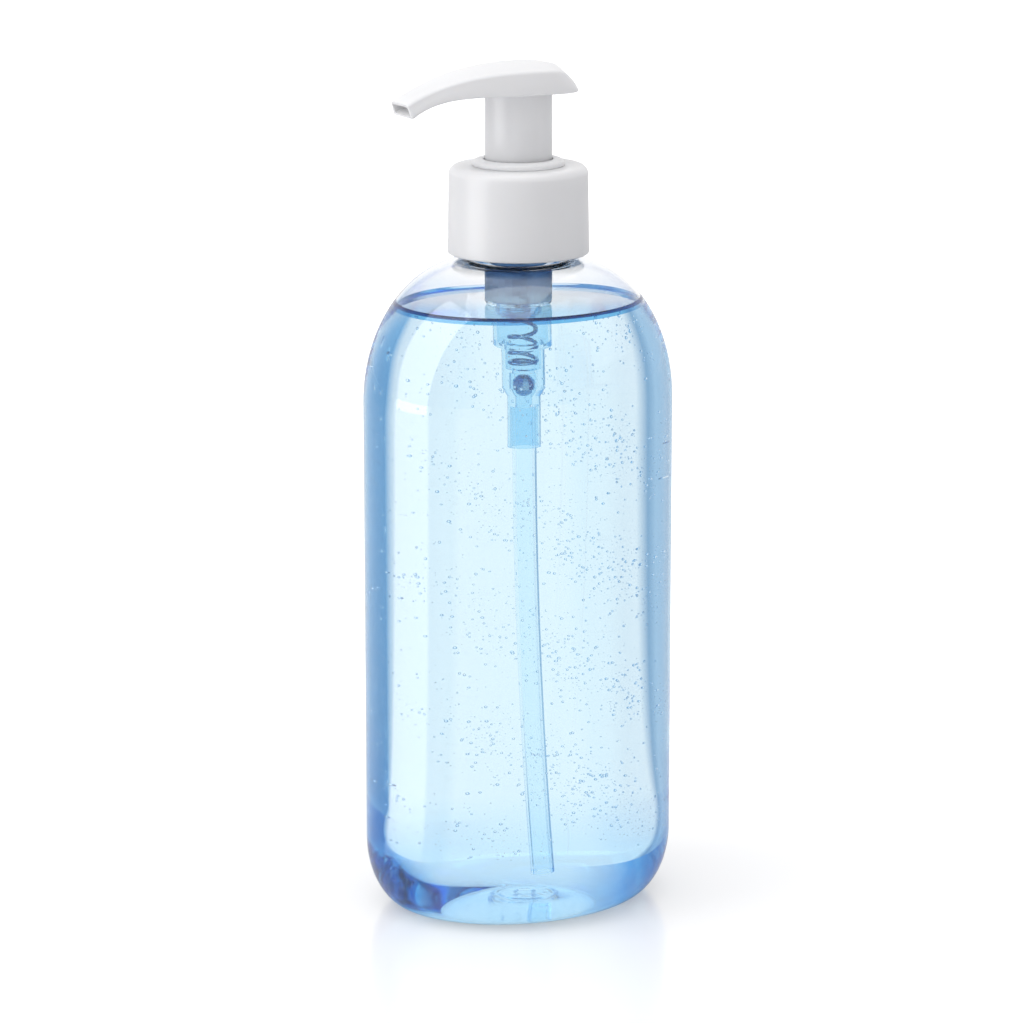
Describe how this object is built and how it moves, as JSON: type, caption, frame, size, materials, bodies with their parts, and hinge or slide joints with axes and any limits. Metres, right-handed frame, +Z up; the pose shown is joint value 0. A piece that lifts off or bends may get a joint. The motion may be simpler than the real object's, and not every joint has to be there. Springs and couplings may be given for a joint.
{
  "type": "body wash bottle",
  "caption": "Oval clear bottle of body wash with a smooth screw closure and a press-down lotion pump with a flat turning nozzle.",
  "frame": {"origin": "middle of the base, on the surface that the bottle stands on", "axes": "+Z up along the pump's axis; X along the long way of the oval body, with the nozzle pointing along -X"},
  "size_m": [0.077, 0.0656, 0.2068],
  "materials": {
    "clear_plastic": "clear gloss",
    "gel": "clear pale blue gel",
    "white_plastic": "satin moulded",
    "cloudy_plastic": "translucent moulded",
    "tube_plastic": "translucent extruded",
    "soft_plastic": "soft moulded",
    "foam": "soft foam sheet",
    "steel": "bright drawn wire"
  },
  "bodies": {
    "bottle": {"bottle": "clear_plastic", "body_wash": "gel"},
    "pump": {"housing": "cloudy_plastic", "chaplet": "white_plastic", "gasket": "foam", "dip_tube": "tube_plastic", "spring": "steel"},
    "closure": {"closure": "white_plastic"},
    "rod": {"stem": "white_plastic", "piston_seat": "soft_plastic"},
    "piston": {"piston": "soft_plastic"},
    "head": {"actuator": "white_plastic"},
    "valve": {"valve_ball": "steel"}
  },
  "joints": [
    {"name": "pump_rise", "type": "slide", "parent": "bottle", "child": "pump", "axis": [0, 0, 1], "range_m": [0, 0.00634]},
    {"name": "closure_turn", "type": "hinge", "parent": "pump", "child": "closure", "pos_m": [0, 0, 0.17], "axis": [0, 0, 1], "range_deg": [0, 540]},
    {"name": "head_press", "type": "slide", "parent": "pump", "child": "rod", "axis": [0, 0, -1], "range_m": [0, 0.0124], "stiffness_N_per_m": 600, "springref_m": -0.008, "deforming": ["spring"]},
    {"name": "head_turn", "type": "hinge", "parent": "rod", "child": "head", "pos_m": [0, 0, 0.19], "axis": [0, 0, 1], "continuous": true},
    {"name": "piston_slip", "type": "slide", "parent": "rod", "child": "piston", "axis": [0, 0, 1], "range_m": [0, 0.0008]},
    {"name": "ball_lift", "type": "slide", "parent": "pump", "child": "valve", "axis": [0, 0, 1], "range_m": [0, 0.0014]}
  ],
  "couplings": [
    {"joint": "closure_turn", "follows": "pump_rise", "rad_per_m": 1484.2}
  ]
}
